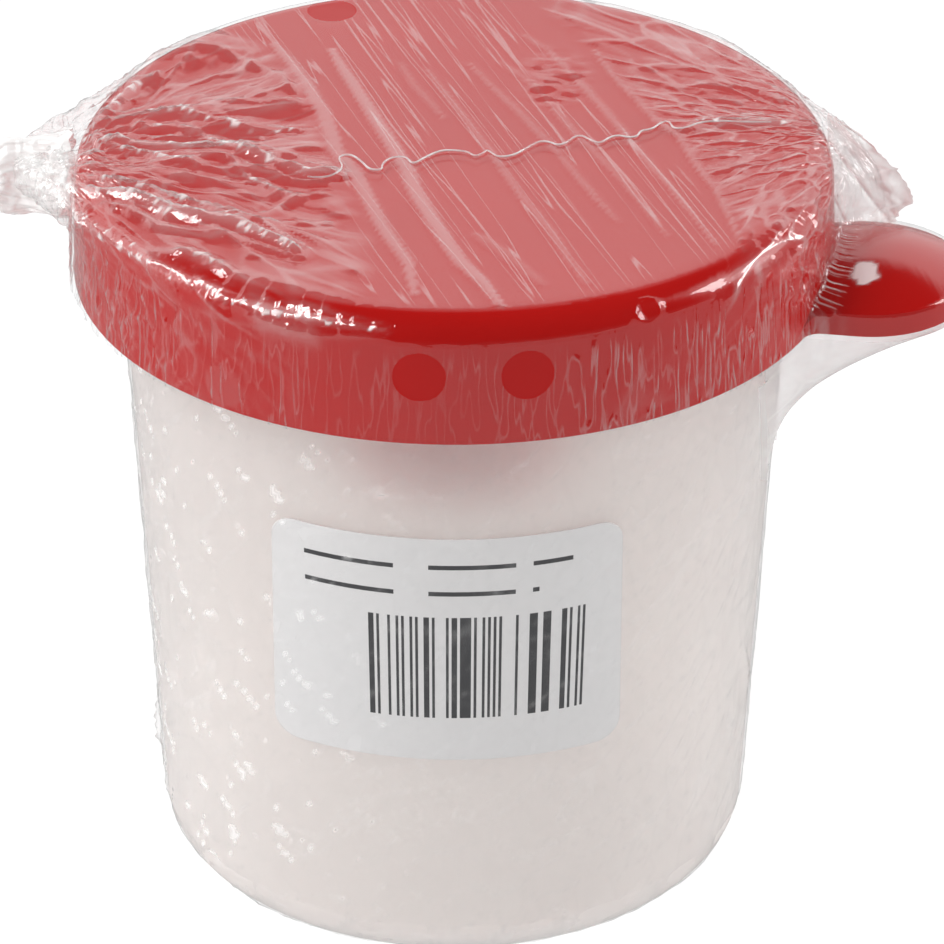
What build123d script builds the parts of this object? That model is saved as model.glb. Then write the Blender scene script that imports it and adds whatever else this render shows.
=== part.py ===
from build123d import *
from math import cos, radians, sin
import os

# Driving dimensions, millimetres. The axis of the pot is Z, its base stands on z = 0, the tab points to +X
overall_height = 83.8

# Lid: rounded flat cap with a deep skirt and a thumb tab
lid_radius = 41.0
lid_draft = 0.5
lid_depth = 13.8
lid_wall = 1.2
lid_edge_radius = 3.0
seal_ring_depth = 3.0
seal_ring_wall = 1.0
tab_half_width = 10.8
tab_reach = 14.4
tab_lip = 2.6
tab_rise = 2.6
tab_wall = 1.5
tab_root_fillet = 2.0

# Cup: tapered milky wall with a rolled rim and a rounded foot
neck_step = 5.2
cup_taper = 3.65
cup_wall = 1.2
cup_floor = 1.6
cup_foot_fillet = 5.0
cup_floor_fillet = 3.8
rim_height = 2.6
rim_round = 0.6

# Spill guard: funnel insert that hangs in the cup's mouth
guard_wall = 1.0
flange_thickness = 1.4
flange_inset = 0.7
plug_depth = 5.0
plug_draft = 0.4
cone_drop = 8.0
throat_radius = 11.6
throat_draft = 0.6
throat_end_height = 46.6
funnel_round = 2.0

# Fits and clearances
lid_rim_clearance = 0.35
snap_clearance = 0.15
snap_height = 1.4
plug_clearance = 0.3
seal_clearance = 0.3
seat_gap = 0.1

# Label: plain sticker on the front of the cup
label_width = 39.0
label_height = 28.0
label_corner = 2.6
label_thickness = 0.12
label_glue = 0.1
label_centre_height = 41.4
label_azimuth = -82.4

# Shrink film
film_thickness = 0.2
film_lid_gap = 0.3
film_cup_gap = 0.3
film_slit = 0.4
film_foot_clear = 0.5
vent_radius = 2.75
vent_height_share = 0.565
vent_azimuths = (-86.0, -70.5)
top_vent_azimuth = 122.0
top_vent_inset = 6.0

# Film tent under the tab
tent_drop = 21.5
tent_curve_power = 2.2
tent_foot_width_share = 0.4
tent_level_shares = (0.0, 0.3, 0.55, 0.75, 0.9, 1.0)
tent_skin = 0.35

# Gathered film ends
gather_centre_drop = 5.2
left_gather_azimuth = 188.5
left_gather_length = 9.6
right_gather_azimuth = 15.5
right_gather_length = 8.2
gather_half_height = 4.8
gather_half_thickness = 3.6
gather_station_shares = (
    # of the length, of the half height, of the half thickness
    (0.0, 1.0, 1.0),
    (0.3, 0.86, 0.5),
    (0.7, 1.05, 0.42),
    (1.0, 0.62, 0.16),
)
gather_root_gap = 0.1

# Weld seam of the film across the lid
seam_width = 0.7
seam_height = 0.45
seam_azimuth = 19.5
seam_offset = 2.2
seam_wave = 1.0
seam_wave_length = 12.0
seam_steps_per_wave = 6
seam_end_gap = 5.0

overrun = 5.0

# Levels and radii worked out from the sizes above
skirt_height = overall_height - lid_depth
cup_neck_radius = lid_radius - neck_step
cup_foot_radius = cup_neck_radius - cup_taper
lid_top_radius = lid_radius - lid_draft
lid_underside = overall_height - lid_wall
flange_top = lid_underside - seat_gap
rim_top = flange_top - flange_thickness
skirt_inner_radius = lid_top_radius - lid_wall
rim_radius = skirt_inner_radius - lid_rim_clearance
tab_centre = lid_radius + tab_reach - tab_half_width
tab_top = skirt_height + tab_lip + tab_rise
dome_radius = (tab_half_width**2 + tab_rise**2) / (2 * tab_rise)


def cup_radius(height):
    """Outer radius of the cup's wall at a height."""
    return cup_foot_radius + cup_taper * height / skirt_height


def point_at(radius, azimuth, height):
    """Point on a circle about the pot's axis."""
    return (radius * cos(radians(azimuth)), radius * sin(radians(azimuth)), height)


def lid_outline(grow):
    """Half section of the closed lid, grown by a gap, as a filled sketch."""
    crown = overall_height + grow
    with BuildSketch(Plane.XZ) as outline:
        with BuildLine():
            FilletPolyline(
                (lid_radius + grow, skirt_height),
                (lid_top_radius + grow, crown),
                (0, crown),
                radius=max(lid_edge_radius + grow, lid_wall),
            )
            Polyline((0, crown), (0, skirt_height), (lid_radius + grow, skirt_height))
        make_face()
    return outline.sketch


def tab_outline(grow, root_radius):
    """Plan of the tab with its root on a disc about the axis."""
    half_width = tab_half_width + grow
    with BuildSketch(Plane.XY.offset(skirt_height)) as plan:
        Circle(root_radius)
        with Locations((tab_centre / 2, 0)):
            Rectangle(tab_centre, 2 * half_width)
        with Locations((tab_centre, 0)):
            Circle(half_width)
        corners = plan.vertices().filter_by(
            lambda v: abs(Vector(v.X, v.Y).length - root_radius) < film_slit
        )
        if grow >= 0:
            fillet(corners, tab_root_fillet)
    return plan.sketch


def lid_envelope(grow):
    """Solid body of the closed lid and its tab, grown by a gap."""
    with BuildPart() as paddle:
        add(tab_outline(grow, lid_radius + grow))
        extrude(amount=tab_top - skirt_height + grow)
        with Locations((tab_centre, 0, tab_top - dome_radius)):
            Sphere(dome_radius + grow, mode=Mode.INTERSECT)
    with BuildPart() as envelope:
        add(lid_outline(grow))
        revolve(axis=Axis.Z)
        add(paddle.part)
    return envelope.part


# Cup
bead_foot = rim_top - rim_height
with BuildPart() as cup:
    with BuildSketch(Plane.XZ) as cup_section:
        with BuildLine():
            Polyline(
                (0, 0),
                (cup_foot_radius, 0),
                (cup_radius(bead_foot), bead_foot),
                (rim_radius, bead_foot),
                (rim_radius, rim_top),
                (cup_radius(rim_top) - cup_wall, rim_top),
                (cup_radius(cup_floor) - cup_wall, cup_floor),
                (0, cup_floor),
                close=True,
            )
        make_face()
        foot_corner = cup_section.vertices().sort_by_distance((cup_foot_radius, 0))[0]
        fillet(foot_corner, cup_foot_fillet)
        floor_corner = (cup_radius(cup_floor) - cup_wall, cup_floor)
        fillet(cup_section.vertices().sort_by_distance(floor_corner)[0], cup_floor_fillet)
        for level in (bead_foot, rim_top):
            corner = cup_section.vertices().sort_by_distance((rim_radius, level))[0]
            fillet(corner, rim_round)
    revolve(axis=Axis.Z)
cup.part.label = "cup"

# Spill guard: flange on the rim, plug in the mouth, cone and throat
plug_radius = cup_radius(bead_foot) - cup_wall - plug_clearance
plug_foot = rim_top - plug_depth
cone_foot = plug_foot - cone_drop
with BuildPart() as spill_guard:
    with BuildSketch(Plane.XZ):
        with BuildLine():
            FilletPolyline(
                (plug_radius, flange_top - rim_round),
                (plug_radius - plug_draft, plug_foot),
                (throat_radius + throat_draft, cone_foot),
                (throat_radius, throat_end_height),
                radius=funnel_round,
            )
            offset(amount=guard_wall, side=Side.RIGHT)
        make_face()
    revolve(axis=Axis.Z)
    with BuildSketch(Plane.XY.offset(rim_top)):
        Circle(rim_radius - flange_inset)
        Circle(plug_radius - guard_wall, mode=Mode.SUBTRACT)
    extrude(amount=flange_thickness)
    flange_rims = spill_guard.edges().filter_by(GeomType.CIRCLE).sort_by(SortBy.RADIUS)[-2:]
    fillet(flange_rims.sort_by(Axis.Z)[-1], rim_round)
spill_guard.part.label = "spill_guard"

# Lid: hollow cap, hollow tab, seal ring that drops in the guard's mouth, snap bead under the rim
with BuildPart() as tab_hollow:
    add(tab_outline(-tab_wall, lid_radius - lid_wall))
    extrude(amount=tab_rise + tab_lip)
    with Locations((tab_centre, 0, tab_top - dome_radius)):
        Sphere(dome_radius - tab_wall, mode=Mode.INTERSECT)
    with BuildSketch(Plane.XY.offset(skirt_height)):
        Circle(lid_radius)
    extrude(amount=tab_rise + tab_lip, mode=Mode.SUBTRACT)

seal_radius = plug_radius - guard_wall - seal_clearance
bead_radius = rim_radius + snap_clearance
snap_level = bead_foot - snap_height - snap_clearance
with BuildPart() as lid:
    add(lid_envelope(0))
    with BuildSketch(Plane.XZ):
        with BuildLine():
            FilletPolyline(
                (skirt_inner_radius + lid_draft, skirt_height),
                (skirt_inner_radius, lid_underside),
                (0, lid_underside),
                radius=lid_edge_radius - lid_wall,
            )
            Polyline((0, lid_underside), (0, skirt_height), (skirt_inner_radius + lid_draft, skirt_height))
        make_face()
    revolve(axis=Axis.Z, mode=Mode.SUBTRACT)
    add(tab_hollow.part, mode=Mode.SUBTRACT)
    with BuildSketch(Plane.XY.offset(lid_underside)):
        Circle(seal_radius)
        Circle(seal_radius - seal_ring_wall, mode=Mode.SUBTRACT)
    extrude(amount=-seal_ring_depth)
    with BuildSketch(Plane.XZ):
        with BuildLine():
            Polyline(
                (skirt_inner_radius + lid_draft, snap_level),
                (bead_radius, snap_level + snap_height / 2),
                (skirt_inner_radius + lid_draft, snap_level + snap_height),
                close=True,
            )
        make_face()
    revolve(axis=Axis.Z)
lid.part.label = "lid"

# Label: rounded sheet wrapped on the cone of the cup's wall
with BuildPart() as label:
    inner_gap = label_glue
    outer_gap = label_glue + label_thickness
    with BuildSketch(Plane.XZ):
        with BuildLine():
            Polyline(
                (cup_radius(0) + inner_gap, 0),
                (cup_radius(0) + outer_gap, 0),
                (cup_radius(skirt_height) + outer_gap, skirt_height),
                (cup_radius(skirt_height) + inner_gap, skirt_height),
                close=True,
            )
        make_face()
    revolve(axis=Axis.Z)
    label_radius = cup_radius(label_centre_height)
    half_angle = label_width / (2 * label_radius)
    chord = 2 * label_radius * sin(half_angle)
    face_plane = Plane(
        origin=point_at(0, 0, label_centre_height),
        x_dir=point_at(1, label_azimuth + 90, 0),
        z_dir=point_at(1, label_azimuth, 0),
    )
    with BuildSketch(face_plane):
        RectangleRounded(chord, label_height, label_corner)
    extrude(amount=lid_radius, mode=Mode.INTERSECT)
label.part.label = "label"

# Film over the lid and its tab, with vent holes punched in it
film_outer_gap = film_lid_gap + film_thickness
vent_height = skirt_height + lid_depth * vent_height_share
with BuildPart() as wrap_lid:
    add(lid_envelope(film_outer_gap))
    add(lid_envelope(film_lid_gap), mode=Mode.SUBTRACT)
    for azimuth in vent_azimuths:
        vent_plane = Plane(origin=point_at(0, 0, vent_height), z_dir=point_at(1, azimuth, 0))
        with BuildSketch(vent_plane):
            Circle(vent_radius)
        extrude(amount=lid_radius + overrun, mode=Mode.SUBTRACT)
    top_vent_place = point_at(lid_radius - top_vent_inset, top_vent_azimuth, lid_underside)
    with BuildSketch(Plane(origin=top_vent_place)):
        Circle(vent_radius)
    extrude(amount=overrun, mode=Mode.SUBTRACT)
wrap_lid.part.label = "wrap_lid"

# Film round the cup, from just under the skirt to the start of the base
film_top = skirt_height - film_slit
cup_film_outer = film_cup_gap + film_thickness


def cup_film_body(gap):
    """Solid of the cup's wall and foot, grown by a gap, up to the slit."""
    with BuildPart() as body:
        with BuildSketch(Plane.XZ) as section:
            with BuildLine():
                Polyline(
                    (0, -gap),
                    (cup_foot_radius + gap, -gap),
                    (cup_radius(film_top) + gap, film_top),
                    (0, film_top),
                    close=True,
                )
            make_face()
            corner = section.vertices().sort_by_distance((cup_foot_radius + gap, -gap))[0]
            fillet(corner, cup_foot_fillet + gap)
        revolve(axis=Axis.Z)
    return body.part


with BuildPart() as wrap_cup:
    add(cup_film_body(cup_film_outer))
    add(cup_film_body(film_cup_gap), mode=Mode.SUBTRACT)
    split(bisect_by=Plane.XY.offset(film_foot_clear), keep=Keep.TOP)
wrap_cup.part.label = "wrap_cup"

# Film tent from under the tab down to the cup's wall
tent_foot = film_top - tent_drop
tent_reach = lid_radius + tab_reach - cup_radius(film_top)


def tent_body(skin):
    """Lofted body of the tent, drawn in by a skin thickness."""
    with BuildPart() as body:
        for share in tent_level_shares:
            height = tent_foot + tent_drop * share + skin
            tip = cup_radius(height) + tent_reach * share**tent_curve_power + film_cup_gap - skin
            width_share = tent_foot_width_share + (1 - tent_foot_width_share) * share
            half = (tab_half_width + film_outer_gap) * width_share - skin
            root = cup_radius(height) / 2
            nose = tip - half
            with BuildSketch(Plane.XY.offset(height)):
                with BuildLine():
                    Polyline((nose, -half), (root, -half), (root, half), (nose, half))
                    ThreePointArc((nose, half), (tip, 0), (nose, -half))
                make_face()
        loft()
    return body.part


with BuildPart() as wrap_tent:
    add(tent_body(0))
    add(tent_body(tent_skin), mode=Mode.SUBTRACT)
    add(cup_film_body(cup_film_outer + seat_gap), mode=Mode.SUBTRACT)
wrap_tent.part.label = "wrap_tent"


def gathered_end(azimuth, length):
    """Bunched film end: a lofted ear that stands out from the lid's edge."""
    root = lid_radius + film_outer_gap + gather_root_gap
    centre_height = overall_height - gather_centre_drop
    with BuildPart() as ear:
        for reach_share, height_share, thick_share in gather_station_shares:
            station = Plane(
                origin=point_at(root + length * reach_share, azimuth, centre_height),
                x_dir=point_at(1, azimuth + 90, 0),
                z_dir=point_at(1, azimuth, 0),
            )
            with BuildSketch(station):
                Ellipse(gather_half_thickness * thick_share, gather_half_height * height_share)
        loft()
    return ear.part


with BuildPart() as wrap_gather_left:
    add(gathered_end(left_gather_azimuth, left_gather_length))
wrap_gather_left.part.label = "wrap_gather_left"

with BuildPart() as wrap_gather_right:
    add(gathered_end(right_gather_azimuth, right_gather_length))
wrap_gather_right.part.label = "wrap_gather_right"

# Trim seam: thin wavy bead of welded film across the lid's top
seam_half_run = lid_top_radius - seam_end_gap
seam_steps = round(2 * seam_half_run / seam_wave_length * seam_steps_per_wave)
seam_points = []
for step in range(seam_steps + 1):
    along = seam_half_run * (2 * step / seam_steps - 1)
    across = seam_wave * sin(radians(360 * along / seam_wave_length))
    seam_points.append((along, across - seam_offset))
seam_plane = Plane(
    origin=(0, 0, overall_height + film_outer_gap),
    x_dir=point_at(1, seam_azimuth, 0),
    z_dir=(0, 0, 1),
)
with BuildPart() as wrap_seam:
    with BuildSketch(seam_plane):
        with BuildLine():
            seam_line = Polyline(*seam_points)
        trace(line_width=seam_width)
    extrude(amount=seam_height)
wrap_seam.part.label = "wrap_seam"

os.makedirs("parts", exist_ok=True)
for piece in (cup, spill_guard, lid, label, wrap_lid, wrap_cup, wrap_tent):
    export_step(piece.part, f"parts/{piece.part.label}.step")
for piece in (wrap_gather_left, wrap_gather_right, wrap_seam):
    export_step(piece.part, f"parts/{piece.part.label}.step")
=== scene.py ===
import math
import bpy
import bmesh
import numpy as np
from mathutils import Matrix, Vector, noise


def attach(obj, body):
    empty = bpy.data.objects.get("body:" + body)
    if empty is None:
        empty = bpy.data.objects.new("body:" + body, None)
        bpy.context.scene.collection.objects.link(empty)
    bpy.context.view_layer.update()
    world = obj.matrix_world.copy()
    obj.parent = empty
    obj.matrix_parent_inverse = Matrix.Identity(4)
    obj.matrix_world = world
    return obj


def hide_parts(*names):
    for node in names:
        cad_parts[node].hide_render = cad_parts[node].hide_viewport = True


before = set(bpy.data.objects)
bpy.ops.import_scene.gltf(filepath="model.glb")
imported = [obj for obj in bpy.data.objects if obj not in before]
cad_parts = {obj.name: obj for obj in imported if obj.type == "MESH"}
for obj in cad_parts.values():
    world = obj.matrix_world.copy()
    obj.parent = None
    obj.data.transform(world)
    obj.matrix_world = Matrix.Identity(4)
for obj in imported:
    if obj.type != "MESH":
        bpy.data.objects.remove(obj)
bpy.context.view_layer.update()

MM = 0.001
UP = Vector((0, 0, 1))

# Camera: the photograph's viewpoint, found from the outlines of lid and cup
PHOTO_WIDTH = 944
FOCAL_PIXELS = 6000
SENSOR_WIDTH = 36
CAMERA_DISTANCE = 574.0 * MM
CAMERA_HEIGHT = 370.9 * MM
CAMERA_PITCH = 0.5187
CAMERA_ROLL = 0.003
CAMERA_YAW = 0.0037
CAMERA_SHIFT = (-0.0015, 0.0016)
TAB_TURN = math.radians(9)

# Studio, in metres
LAMP_DISTANCE = 1.1
LAMP_TARGET = Vector((0, 0, 0.06))
LAMP_POWER_PER_AREA = 4
FLOOR_RADIUS = 4.0
CLIP_END = 20

# The pot's own sizes in millimetres, as the CAD has them
LID_RADIUS = 41.0
LID_TOP_RADIUS = 40.5
LID_TOP = 83.8
LID_EDGE = 3.0
SKIRT_LOW = 70.0
TAB_CENTRE = 44.6
TAB_HALF = 10.8
TAB_TOP = 75.2
TAB_DOME = 23.7
CUP_FOOT_RADIUS = 32.15
CUP_TAPER = 3.65
CUP_FOOT_ROUND = 5.0
LABEL_TURN = math.radians(-82.4)
LABEL_RADIUS = 34.45
LABEL_MIDDLE = 41.4

# The film, in millimetres
FILM_LIFT = 0.4
FILM_CELL = 0.48
FILM_ROOT = 40.6
CUP_FILM_LIFT = 0.25
CUP_FILM_TOP = SKIRT_LOW - 0.4
TENT_TOP = SKIRT_LOW - 0.45
TENT_FOOT = CUP_FILM_TOP - 21.5
VENT_RADIUS = 2.75
SEAM_RADIUS = 0.11
PULL_TURN = math.radians(-62)  # which way the film is pulled over the lid's top

# Colours
RED_TONES = ((0.425, 0.004, 0.003, 1), (0.475, 0.007, 0.005, 1))
MILKY_TONES = ((0.97, 0.925, 0.90, 1), (0.99, 0.95, 0.925, 1))
PAPER_TONES = ((0.73, 0.72, 0.72, 1), (0.78, 0.77, 0.77, 1))
INK = (0.03, 0.03, 0.035, 1)
FILM_TONE = (0.97, 0.96, 0.955, 1)
BUNCHED_TONE = (0.95, 0.93, 0.92, 1)
WELD_TONE = (0.85, 0.82, 0.82, 1)
WHITE = (1, 1, 1, 1)

# How much the film mirrors head on, how much more at a slant, and how rough it is where it is clear
MIRROR = 0.075
SLANT_MIRROR = 0.5
FILM_ROUGHNESS = 0.06


# ---------------------------------------------------------------- camera and lamps

def place_camera():
    """The tab points 9 degrees towards the viewer, so the viewpoint is turned by that about the axis."""
    ahead = Vector((
        math.sin(CAMERA_YAW) * math.cos(CAMERA_PITCH),
        math.cos(CAMERA_YAW) * math.cos(CAMERA_PITCH),
        -math.sin(CAMERA_PITCH),
    ))
    right = ahead.cross(UP).normalized()
    up = right.cross(ahead)
    right, up = (
        right * math.cos(CAMERA_ROLL) + up * math.sin(CAMERA_ROLL),
        up * math.cos(CAMERA_ROLL) - right * math.sin(CAMERA_ROLL),
    )
    facing = Matrix((right, up, -ahead)).transposed().to_4x4()
    stand = Matrix.Translation((0, -CAMERA_DISTANCE, CAMERA_HEIGHT))
    data = bpy.data.cameras.new("camera")
    data.sensor_width = SENSOR_WIDTH
    data.lens = data.sensor_width * FOCAL_PIXELS / PHOTO_WIDTH
    data.clip_end = CLIP_END
    data.shift_x, data.shift_y = CAMERA_SHIFT
    camera = bpy.data.objects.new("camera", data)
    bpy.context.collection.objects.link(camera)
    camera.matrix_world = Matrix.Rotation(TAB_TURN, 4, "Z") @ stand @ facing
    bpy.context.scene.camera = camera


def softbox(name, azimuth, elevation, wide, tall, radiance):
    """A rectangular studio lamp that looks at the pot, placed and sized in degrees.

    Azimuth is seen from above, with the viewer at -90.
    """
    turn = math.radians(azimuth) + TAB_TURN
    lift = math.radians(elevation)
    towards = Vector((math.cos(turn) * math.cos(lift), math.sin(turn) * math.cos(lift), math.sin(lift)))
    data = bpy.data.lights.new(name, "AREA")
    data.shape = "RECTANGLE"
    data.size = 2 * LAMP_DISTANCE * math.tan(math.radians(wide / 2))
    data.size_y = 2 * LAMP_DISTANCE * math.tan(math.radians(tall / 2))
    data.energy = radiance * LAMP_POWER_PER_AREA * data.size * data.size_y
    lamp = bpy.data.objects.new(name, data)
    lamp.matrix_world = (
        Matrix.Translation(towards * LAMP_DISTANCE + LAMP_TARGET)
        @ towards.to_track_quat("Z", "Y").to_matrix().to_4x4()
    )
    bpy.context.collection.objects.link(lamp)


# ---------------------------------------------------------------- shader helpers

def feed(tree, node, inputs):
    """Sets a node's inputs: an output is wired in, anything else is a plain value."""
    for socket, value in inputs.items():
        if isinstance(value, bpy.types.NodeSocket):
            tree.links.new(value, node.inputs[socket])
        else:
            node.inputs[socket].default_value = value


def put(tree, kind, inputs=None, **options):
    """Adds a shader node with its options and inputs."""
    made = tree.nodes.new(kind)
    for option, value in options.items():
        setattr(made, option, value)
    feed(tree, made, inputs or {})
    return made


def maths(tree, operation, *values, clamp=False):
    made = put(tree, "ShaderNodeMath", dict(enumerate(values)), operation=operation, use_clamp=clamp)
    return made.outputs[0]


def vector_maths(tree, operation, inputs):
    return put(tree, "ShaderNodeVectorMath", inputs, operation=operation).outputs[0]


def ramp(tree, value, low, high, start=0.0, end=1.0):
    """Smooth step of a value from start to end as it goes from low to high."""
    return put(tree, "ShaderNodeMapRange", {
        "Value": value, "From Min": low, "From Max": high, "To Min": start, "To Max": end,
    }, interpolation_type="SMOOTHSTEP").outputs["Result"]


def cloud(tree, vector, scale, detail, roughness=0.5):
    """Soft noise, as a share and as a colour."""
    return put(tree, "ShaderNodeTexNoise", {
        "Vector": vector, "Scale": scale, "Detail": detail, "Roughness": roughness,
    }).outputs


def random_steps(tree, value, steps):
    """A random share for each step of a value."""
    step = maths(tree, "FLOOR", maths(tree, "MULTIPLY", value, steps))
    return put(tree, "ShaderNodeTexWhiteNoise", {"W": step}, noise_dimensions="1D").outputs["Value"]


def mixed(tree, share, one, other):
    """A colour between two tones."""
    made = put(tree, "ShaderNodeMix", {"Factor": share, "A": one, "B": other}, data_type="RGBA")
    return made.outputs["Result"]


def bumped(tree, height, strength, distance):
    return put(tree, "ShaderNodeBump", {
        "Height": height, "Strength": strength, "Distance": distance,
    }).outputs["Normal"]


def own_space(tree):
    return put(tree, "ShaderNodeTexCoord").outputs["Object"]


def split(tree, vector):
    return put(tree, "ShaderNodeSeparateXYZ", {0: vector}).outputs


def layer(tree, name):
    """What the mesh carries for each of its points under a name."""
    return put(tree, "ShaderNodeAttribute", attribute_name=name).outputs


def ray_kinds(tree):
    return put(tree, "ShaderNodeLightPath").outputs


VECTOR = "NodeSocketVector"
NUMBER = "NodeSocketFloat"


def new_group(name, inputs, outputs):
    """An empty node group, what it is given, and the node that takes its results."""
    group = bpy.data.node_groups.new(name, "ShaderNodeTree")
    for way, sockets in (("INPUT", inputs), ("OUTPUT", outputs)):
        for label, kind in sockets.items():
            group.interface.new_socket(name=label, in_out=way, socket_type=kind)
    return group, group.nodes.new("NodeGroupInput").outputs, group.nodes.new("NodeGroupOutput")


def use_group(tree, group, inputs):
    return put(tree, "ShaderNodeGroup", inputs, node_tree=group).outputs


def crinkle_group():
    """Creases of thin tight film: a wandering net of sharp ridges, with soft pillows between them."""
    group, given, result = new_group(
        "film crinkle",
        {"Vector": VECTOR, "Size": NUMBER, "Wander": NUMBER},
        {"Height": NUMBER, "Line": NUMBER},
    )
    drift = cloud(group, given["Vector"], given["Size"], 0.0)["Color"]
    centred = vector_maths(group, "SUBTRACT", {0: drift, 1: (0.5, 0.5, 0.5)})
    pushed = vector_maths(group, "SCALE", {0: centred, "Scale": given["Wander"]})
    moved = vector_maths(group, "ADD", {0: given["Vector"], 1: pushed})
    net = put(
        group, "ShaderNodeTexVoronoi", {"Vector": moved, "Scale": given["Size"]}, feature="DISTANCE_TO_EDGE",
    ).outputs["Distance"]
    pillow = cloud(group, moved, given["Size"], 1.0)["Fac"]
    ridge = ramp(group, net, 0.0, 0.32, 1.0, 0.0)
    feed(group, result, {
        "Height": maths(group, "MULTIPLY_ADD", pillow, 0.9, maths(group, "MULTIPLY", ridge, 0.45)),
        "Line": ramp(group, net, 0.01, 0.09, 1.0, 0.0),
    })
    return group


def moulded_group():
    """Injection-moulded plastic: a faint pull in the surface and fine handling marks."""
    group, given, result = new_group(
        "moulded surface",
        {"Roughness": NUMBER, "Depth": NUMBER, "Marks": NUMBER},
        {"Roughness": NUMBER, "Normal": VECTOR, "Cloud": NUMBER},
    )
    place = own_space(group)
    pull = cloud(group, place, 60.0, 3.0)["Fac"]
    grain = cloud(group, place, 1400.0, 2.0)["Fac"]
    marks = maths(group, "SUBTRACT", cloud(group, place, 260.0, 5.0, 0.7)["Fac"], 0.5)
    height = maths(group, "MULTIPLY_ADD", grain, 0.05, pull)
    feed(group, result, {
        "Roughness": maths(group, "MULTIPLY_ADD", marks, given["Marks"], given["Roughness"], clamp=True),
        "Normal": bumped(group, height, given["Depth"], 0.0006),
        "Cloud": pull,
    })
    return group


CRINKLE = crinkle_group()
MOULDED = moulded_group()


def blank(name):
    """A new material, its nodes and the shader of its surface."""
    material = bpy.data.materials.new(name)
    material.use_nodes = True
    tree = material.node_tree
    return material, tree, tree.nodes["Principled BSDF"]


# ---------------------------------------------------------------- finishes of the pot

def moulded_plastic(name, roughness, depth, marks, tones):
    material, tree, skin = blank(name)
    surface = use_group(tree, MOULDED, {"Roughness": roughness, "Depth": depth, "Marks": marks})
    feed(tree, skin, {
        "Base Color": mixed(tree, surface["Cloud"], *tones),
        "Roughness": surface["Roughness"],
        "Normal": surface["Normal"],
    })
    return material, tree, skin


def red_plastic():
    material, tree, skin = moulded_plastic("glossy red plastic", 0.16, 0.12, 0.1, RED_TONES)
    feed(tree, skin, {"IOR": 1.4})
    return material


def milky_plastic():
    """See-through and cloudy. Most of the light that only brightens other things passes straight through."""
    material, tree, skin = moulded_plastic("milky cup plastic", 0.42, 0.1, 0.15, MILKY_TONES)
    rays = ray_kinds(tree)
    passing = maths(tree, "MAXIMUM", rays["Is Shadow Ray"], rays["Is Diffuse Ray"])
    feed(tree, skin, {
        "Alpha": maths(tree, "MULTIPLY_ADD", passing, -0.9, 1.0),
        "Transmission Weight": 0.76,
        "IOR": 1.35,
    })
    return material


def sticker():
    """White satin paper with a plain block of bars and two ruled lines where the print goes."""
    material, tree, skin = blank("white sticker")
    place = own_space(tree)
    spun = put(tree, "ShaderNodeMapping", {"Vector": place, "Rotation": (0, 0, -LABEL_TURN)}).outputs[0]
    parts = split(tree, spun)
    along = maths(tree, "MULTIPLY", maths(tree, "ARCTAN2", parts["Y"], parts["X"]), LABEL_RADIUS)
    above = maths(tree, "MULTIPLY_ADD", parts["Z"], 1 / MM, -LABEL_MIDDLE)

    def window(value, low, high):
        over = maths(tree, "GREATER_THAN", value, low)
        return maths(tree, "MULTIPLY", over, maths(tree, "LESS_THAN", value, high))

    def block(left, right, low, high):
        """1 in a rectangle of the label, in millimetres from its middle."""
        return maths(tree, "MULTIPLY", window(along, left, right), window(above, low, high))

    bar = maths(tree, "GREATER_THAN", random_steps(tree, along, 3.4), 0.52)
    dash = maths(tree, "GREATER_THAN", random_steps(tree, along, 0.55), 0.12)
    bars = maths(tree, "MULTIPLY", bar, block(-8.4, 15.0, -8.6, 4.2))
    both_rules = maths(tree, "ADD", block(-15.2, 13.4, 10.2, 10.75), block(-15.2, 9.8, 6.9, 7.45))
    rules = maths(tree, "MULTIPLY", both_rules, dash)
    fibre = cloud(tree, place, 900.0, 4.0)["Fac"]
    paper = mixed(tree, fibre, *PAPER_TONES)
    feed(tree, skin, {
        "Base Color": mixed(tree, maths(tree, "ADD", bars, rules, clamp=True), paper, INK),
        "Normal": bumped(tree, fibre, 0.15, 0.00005),
        "Roughness": 0.4,
    })
    return material


# ---------------------------------------------------------------- finishes of the film

def clear_film(tree, skin, rise, depth, white, milk):
    """Clear shrink film: it mirrors what is round it, more at a slant, and goes pale where creases double it.
    Part of that paleness is painted shine on ridges, painted glints and a painted highlight.

    rise and depth give its bumps, white its paleness, and milk how fast a pale spot stops being a mirror.
    """
    normal = bumped(tree, rise, 1.0, depth)
    slant = put(tree, "ShaderNodeLayerWeight", {"Blend": 0.5, "Normal": normal}).outputs["Facing"]
    mirror = maths(tree, "MULTIPLY_ADD", maths(tree, "POWER", slant, 5.0), SLANT_MIRROR, MIRROR)
    feed(tree, skin, {
        "Alpha": maths(tree, "ADD", mirror, white, clamp=True),
        "Normal": normal,
        "Metallic": maths(tree, "SUBTRACT", 1.0, maths(tree, "MULTIPLY", white, milk), clamp=True),
        "Roughness": maths(tree, "MULTIPLY_ADD", white, 0.5, FILM_ROUGHNESS),
        "Base Color": FILM_TONE,
    })


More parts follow.
